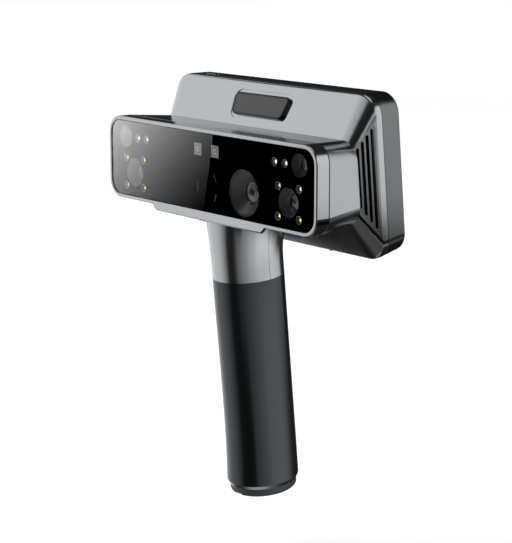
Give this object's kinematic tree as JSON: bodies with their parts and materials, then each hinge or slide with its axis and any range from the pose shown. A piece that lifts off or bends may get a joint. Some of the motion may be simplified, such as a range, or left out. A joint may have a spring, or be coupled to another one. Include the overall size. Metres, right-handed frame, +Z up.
{
  "type": "handheld three-d scanner",
  "caption": "Handheld scanner: a wide front window over cameras and lamps, a sloped vented head with a rear display, and a raked round grip with a hinged battery door.",
  "frame": {"origin": "middle of the hand grip, on its axis", "axes": "+Z up along the scanner's height, -Y out of the front window, +X to the right of someone who faces that window"},
  "size_m": [0.216, 0.0824, 0.2757],
  "materials": {
    "shell_silver": "satin metallic paint",
    "badge_black": "plain black plate",
    "frame_grey": "satin metallic paint, darker",
    "grille_grey": "satin",
    "window_glass": "clear, polished",
    "display_glass": "polished black",
    "display_panel": "dark panel",
    "mask_black": "black print",
    "gasket_rubber": "matt black",
    "optic_black": "matt black",
    "lens_glass": "coated lens",
    "lamp_resin": "cast resin",
    "laser_brass": "turned",
    "board_green": "solder mask",
    "bench_aluminium": "milled",
    "fan_black": "moulded",
    "steel": "plain",
    "sleeve_charcoal": "satin",
    "core_grey": "moulded",
    "ring_bright": "polished",
    "door_dark": "satin",
    "battery_black": "moulded",
    "button_dark": "satin",
    "switch_black": "moulded"
  },
  "bodies": {
    "scanner": {"front_frame": "shell_silver", "main_shell": "shell_silver", "neck_front": "shell_silver", "neck_rear": "shell_silver", "badge_plate": "badge_black", "rear_frame": "frame_grey", "vent_grille_left": "grille_grey", "vent_grille_right": "grille_grey", "front_glass": "window_glass", "display_glass": "display_glass", "display_panel": "display_panel", "front_mask": "mask_black", "front_gasket": "gasket_rubber", "camera_lower_left_barrel": "optic_black", "camera_lower_right_barrel": "optic_black", "camera_upper_left_barrel": "optic_black", "camera_upper_right_barrel": "optic_black", "texture_camera_barrel": "optic_black", "led_collars_left": "optic_black", "led_collars_right": "optic_black", "projector_left": "optic_black", "projector_right": "optic_black", "camera_lower_left_lens": "lens_glass", "camera_lower_right_lens": "lens_glass", "camera_upper_left_lens": "lens_glass", "camera_upper_right_lens": "lens_glass", "texture_camera_lens": "lens_glass", "leds_left": "lamp_resin", "leds_right": "lamp_resin", "laser_modules": "laser_brass", "battery_contacts": "laser_brass", "sensor_boards": "board_green", "led_board_left": "board_green", "led_board_right": "board_green", "main_board": "board_green", "button_board": "board_green", "contact_board": "board_green", "optical_bench": "bench_aluminium", "mid_plate": "bench_aluminium", "heat_sink": "bench_aluminium", "fan_housing_left": "fan_black", "fan_housing_right": "fan_black", "plate_screws": "steel", "rim_screws": "steel", "door_pin": "steel", "grip_sleeve": "sleeve_charcoal", "grip_core": "core_grey", "grip_ring": "ring_bright", "battery_pack": "battery_black", "power_switch": "switch_black"},
    "power_button": {"power_button": "frame_grey"},
    "scan_button": {"scan_button": "button_dark"},
    "fan_left": {"fan_rotor_left": "fan_black"},
    "fan_right": {"fan_rotor_right": "fan_black"},
    "battery_door": {"battery_door": "door_dark"}
  },
  "joints": [
    {"name": "power_press", "type": "slide", "parent": "scanner", "child": "power_button", "axis": [0, 0.0941, -0.9956], "range_m": [0, 0.0006], "stiffness_N_per_m": 400},
    {"name": "scan_press", "type": "slide", "parent": "scanner", "child": "scan_button", "axis": [0, -0.9956, -0.0941], "range_m": [0, 0.001], "stiffness_N_per_m": 500},
    {"name": "fan_left_spin", "type": "hinge", "parent": "scanner", "child": "fan_left", "pos_m": [-0.068, 0.01561, 0.14244], "axis": [0, -0.9956, -0.0941], "continuous": true},
    {"name": "fan_right_spin", "type": "hinge", "parent": "scanner", "child": "fan_right", "pos_m": [0.068, 0.01561, 0.14244], "axis": [0, -0.9956, -0.0941], "continuous": true},
    {"name": "battery_door_swing", "type": "hinge", "parent": "scanner", "child": "battery_door", "pos_m": [0, 0.02576, -0.07375], "axis": [1, 0, 0], "range_deg": [0, 90]}
  ]
}
